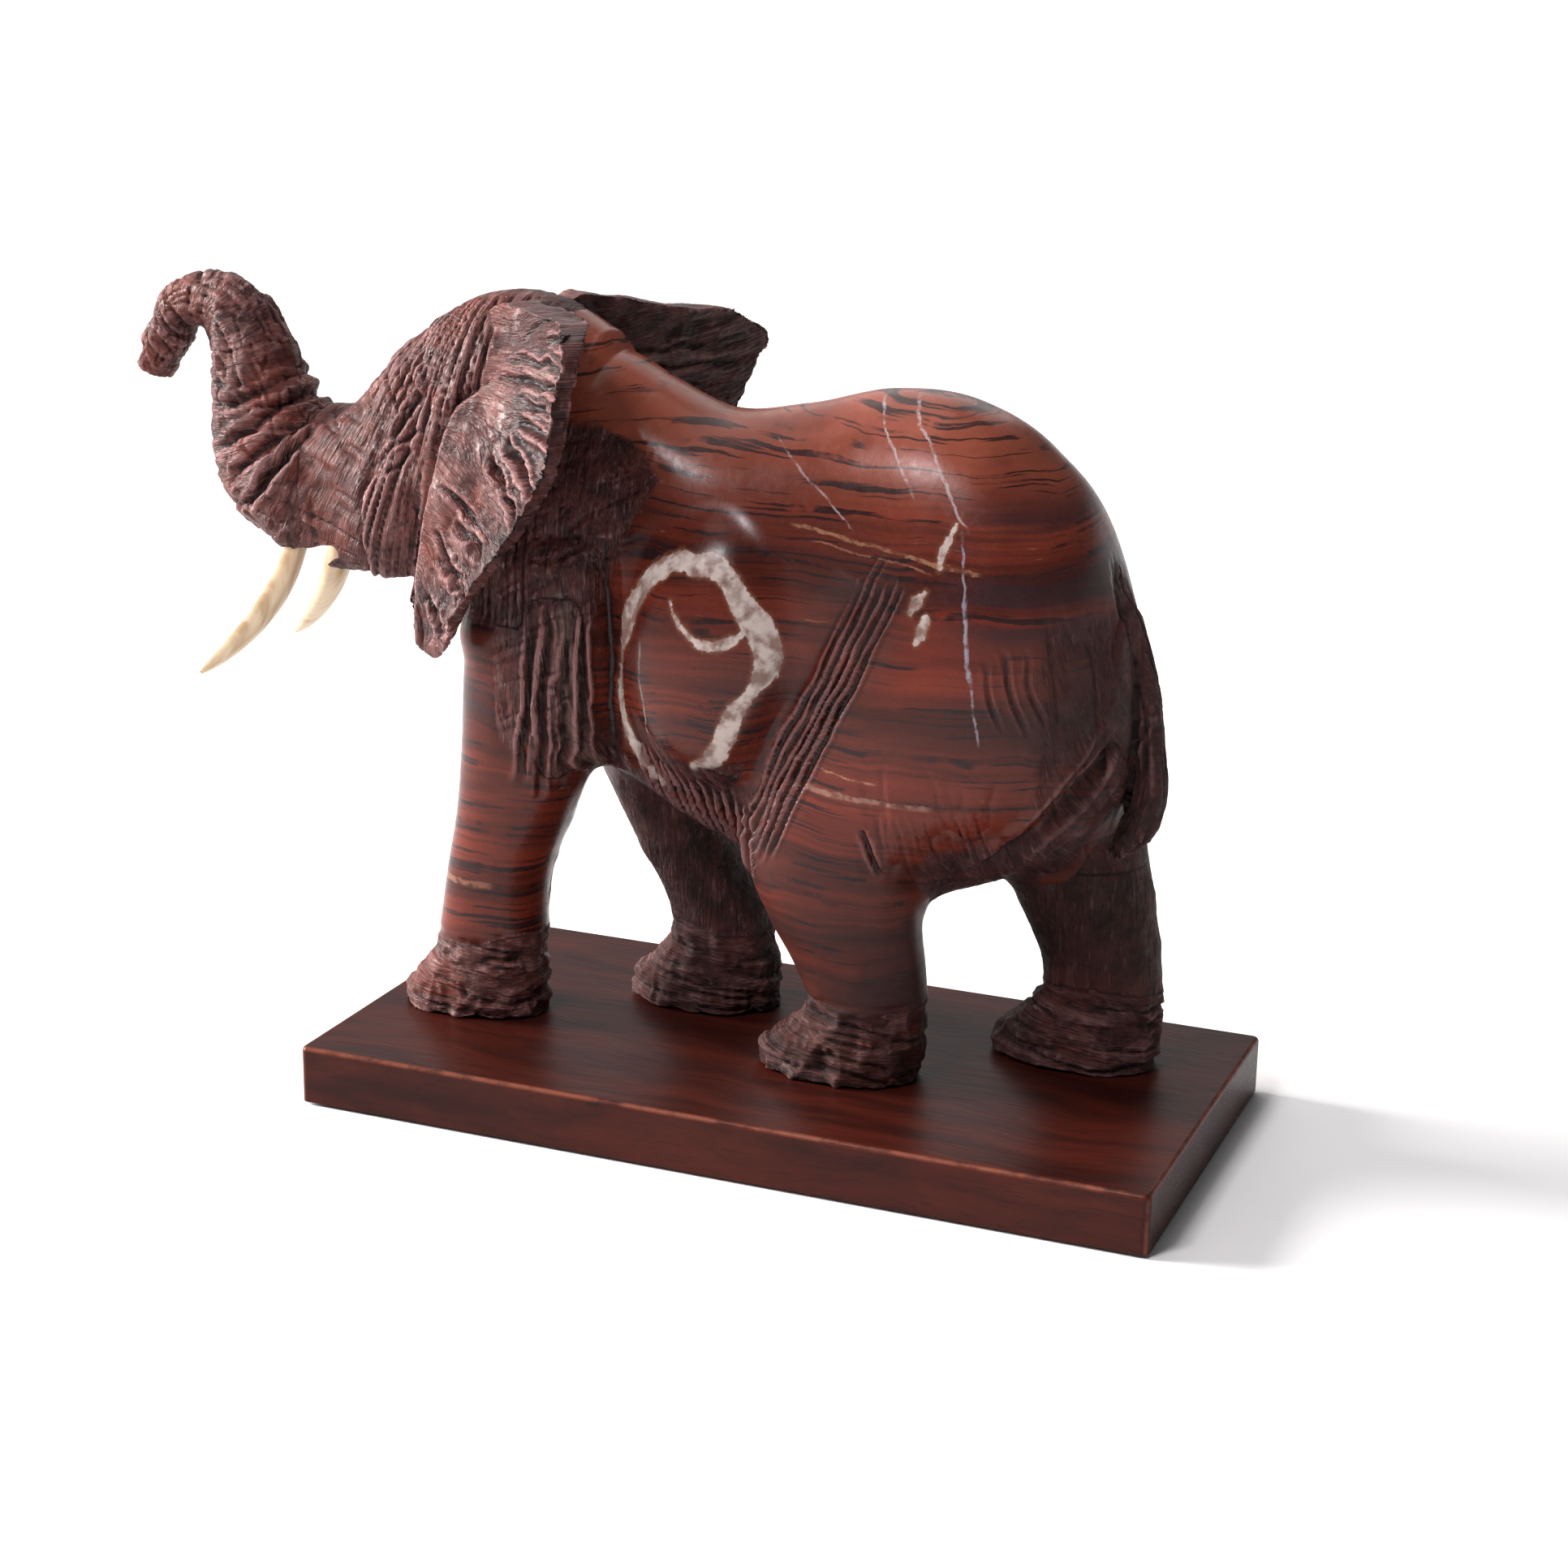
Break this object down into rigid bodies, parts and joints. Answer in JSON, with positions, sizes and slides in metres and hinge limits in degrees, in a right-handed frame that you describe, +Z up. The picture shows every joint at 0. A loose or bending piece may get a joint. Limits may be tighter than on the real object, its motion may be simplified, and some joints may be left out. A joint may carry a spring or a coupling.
{
  "type": "carved stone elephant figurine",
  "caption": "Walking elephant carved from banded red stone, trunk raised and tusks inset, fixed on a rectangular wooden plinth.",
  "frame": {"origin": "centre of the plinth's underside, on the baize that the object stands on", "axes": "+Z up; the elephant faces -X along the plinth's length, with its left side towards -Y"},
  "size_m": [0.4091, 0.1604, 0.275],
  "materials": {
    "banded_red_stone": "polished body, rough-carved head, ears and feet",
    "tusk_resin": "satin",
    "dark_wood": "satin lacquer",
    "zinc_steel": "zinc plated",
    "green_baize": "short nap"
  },
  "bodies": {
    "root": {"elephant_carving": "banded_red_stone", "left_tusk": "tusk_resin", "right_tusk": "tusk_resin", "plinth": "dark_wood", "foot_studs": "zinc_steel", "stud_washers": "zinc_steel", "stud_nuts": "zinc_steel", "base_felt": "green_baize"}
  },
  "joints": []
}
